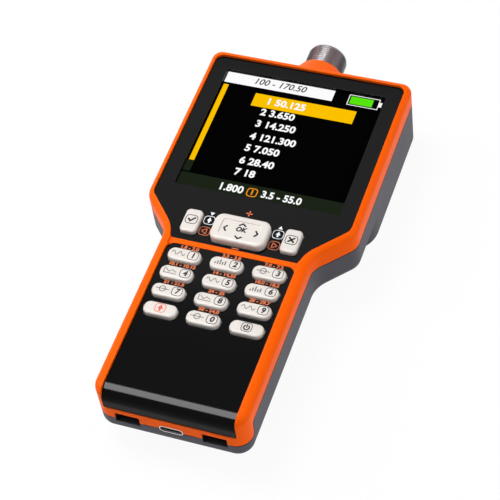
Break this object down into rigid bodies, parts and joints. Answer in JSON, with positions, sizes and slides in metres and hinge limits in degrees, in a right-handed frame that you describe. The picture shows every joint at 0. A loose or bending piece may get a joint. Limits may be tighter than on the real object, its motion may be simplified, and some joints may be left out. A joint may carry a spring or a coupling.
{
  "type": "antenna analyzer",
  "caption": "Handheld antenna analyzer with a colour display, rocking pad, keypad, threaded coaxial connector on its head and a charging socket and strap slots at the grip's end.",
  "frame": {"origin": "middle of the bounding box, at the flat back of the head", "axes": "+Z out of the display face, +Y towards the coaxial connector, +X to the right of the display"},
  "size_m": [0.082, 0.1824, 0.0323],
  "materials": {
    "orange_case": "satin moulded orange",
    "grey_case": "fine texture, dark blue-grey",
    "black_panel": "polished black",
    "clear_window": "polished clear",
    "display_glass": "polished dark",
    "display_back": "white diffuser",
    "dark_moulding": "black moulded",
    "ribbon": "amber film",
    "ivory_keys": "satin ivory",
    "steel": "bright steel",
    "silicone": "translucent grey rubber",
    "board": "green solder mask",
    "chips": "black moulded",
    "tin": "tinned",
    "battery_wrap": "shrink film",
    "foam": "foam rubber",
    "ivory_plug": "ivory moulded",
    "lead_cover": "soft red insulation",
    "nickel": "nickel plated brass",
    "white_insulator": "white fluoroplastic",
    "gold": "gold plated"
  },
  "bodies": {
    "case": {"battery_leads": "lead_cover", "battery_pack": "battery_wrap", "battery_pad": "foam", "battery_plug": "ivory_plug", "board_chips": "chips", "board_screws": "steel", "buzzer": "dark_moulding", "case_screws": "steel", "connector_contact": "gold", "connector_insulator": "white_insulator", "connector_screws": "steel", "connector_shell": "nickel", "connector_strap": "gold", "display_backlight": "display_back", "display_carrier": "dark_moulding", "display_glass": "display_glass", "display_ribbon": "ribbon", "display_window": "clear_window", "front_bezel": "orange_case", "key_switches": "steel", "keypad_mat": "silicone", "lower_panel": "black_panel", "main_board": "board", "nav_switch": "dark_moulding", "rear_shell": "grey_case", "shield_can": "tin", "side_key_mats": "silicone", "upper_panel": "black_panel", "usb_shell": "tin", "usb_tongue": "dark_moulding"},
    "key_0": {"key_0": "ivory_keys"},
    "key_1": {"key_1": "ivory_keys"},
    "key_2": {"key_2": "ivory_keys"},
    "key_3": {"key_3": "ivory_keys"},
    "key_4": {"key_4": "ivory_keys"},
    "key_5": {"key_5": "ivory_keys"},
    "key_6": {"key_6": "ivory_keys"},
    "key_7": {"key_7": "ivory_keys"},
    "key_8": {"key_8": "ivory_keys"},
    "key_9": {"key_9": "ivory_keys"},
    "key_cancel": {"key_cancel": "ivory_keys"},
    "key_confirm": {"key_confirm": "ivory_keys"},
    "key_function": {"key_function": "ivory_keys"},
    "key_power": {"key_power": "ivory_keys"},
    "nav_pad": {"nav_pad": "ivory_keys"},
    "nav_gimbal": {"nav_gimbal": "steel"},
    "nav_plunger": {"nav_plunger": "dark_moulding"}
  },
  "joints": [
    {"name": "key_0_press", "type": "slide", "parent": "case", "child": "key_0", "axis": [0, 0, -1], "range_m": [0, 0.0008], "stiffness_N_per_m": 250, "springref_m": -0.0003},
    {"name": "key_1_press", "type": "slide", "parent": "case", "child": "key_1", "axis": [0, 0, -1], "range_m": [0, 0.0008], "stiffness_N_per_m": 250, "springref_m": -0.0003},
    {"name": "key_2_press", "type": "slide", "parent": "case", "child": "key_2", "axis": [0, 0, -1], "range_m": [0, 0.0008], "stiffness_N_per_m": 250, "springref_m": -0.0003},
    {"name": "key_3_press", "type": "slide", "parent": "case", "child": "key_3", "axis": [0, 0, -1], "range_m": [0, 0.0008], "stiffness_N_per_m": 250, "springref_m": -0.0003},
    {"name": "key_4_press", "type": "slide", "parent": "case", "child": "key_4", "axis": [0, 0, -1], "range_m": [0, 0.0008], "stiffness_N_per_m": 250, "springref_m": -0.0003},
    {"name": "key_5_press", "type": "slide", "parent": "case", "child": "key_5", "axis": [0, 0, -1], "range_m": [0, 0.0008], "stiffness_N_per_m": 250, "springref_m": -0.0003},
    {"name": "key_6_press", "type": "slide", "parent": "case", "child": "key_6", "axis": [0, 0, -1], "range_m": [0, 0.0008], "stiffness_N_per_m": 250, "springref_m": -0.0003},
    {"name": "key_7_press", "type": "slide", "parent": "case", "child": "key_7", "axis": [0, 0, -1], "range_m": [0, 0.0008], "stiffness_N_per_m": 250, "springref_m": -0.0003},
    {"name": "key_8_press", "type": "slide", "parent": "case", "child": "key_8", "axis": [0, 0, -1], "range_m": [0, 0.0008], "stiffness_N_per_m": 250, "springref_m": -0.0003},
    {"name": "key_9_press", "type": "slide", "parent": "case", "child": "key_9", "axis": [0, 0, -1], "range_m": [0, 0.0008], "stiffness_N_per_m": 250, "springref_m": -0.0003},
    {"name": "key_cancel_press", "type": "slide", "parent": "case", "child": "key_cancel", "axis": [0, 0, -1], "range_m": [0, 0.0008], "stiffness_N_per_m": 250, "springref_m": -0.0003},
    {"name": "key_confirm_press", "type": "slide", "parent": "case", "child": "key_confirm", "axis": [0, 0, -1], "range_m": [0, 0.0008], "stiffness_N_per_m": 250, "springref_m": -0.0003},
    {"name": "key_function_press", "type": "slide", "parent": "case", "child": "key_function", "axis": [0, 0, -1], "range_m": [0, 0.0008], "stiffness_N_per_m": 250, "springref_m": -0.0003},
    {"name": "key_power_press", "type": "slide", "parent": "case", "child": "key_power", "axis": [0, 0, -1], "range_m": [0, 0.0008], "stiffness_N_per_m": 250, "springref_m": -0.0003},
    {"name": "nav_press", "type": "slide", "parent": "case", "child": "nav_plunger", "axis": [0, 0, -1], "range_m": [0, 0.0005], "stiffness_N_per_m": 500, "springref_m": -0.0003},
    {"name": "nav_rock_up_down", "type": "hinge", "parent": "nav_plunger", "child": "nav_gimbal", "pos_m": [0, -0.0126, 0.0263], "axis": [1, 0, 0], "range_deg": [-3, 3], "stiffness_Nm_per_rad": 0.05},
    {"name": "nav_rock_left_right", "type": "hinge", "parent": "nav_gimbal", "child": "nav_pad", "pos_m": [0, -0.0126, 0.0263], "axis": [0, 1, 0], "range_deg": [-3, 3], "stiffness_Nm_per_rad": 0.05}
  ]
}
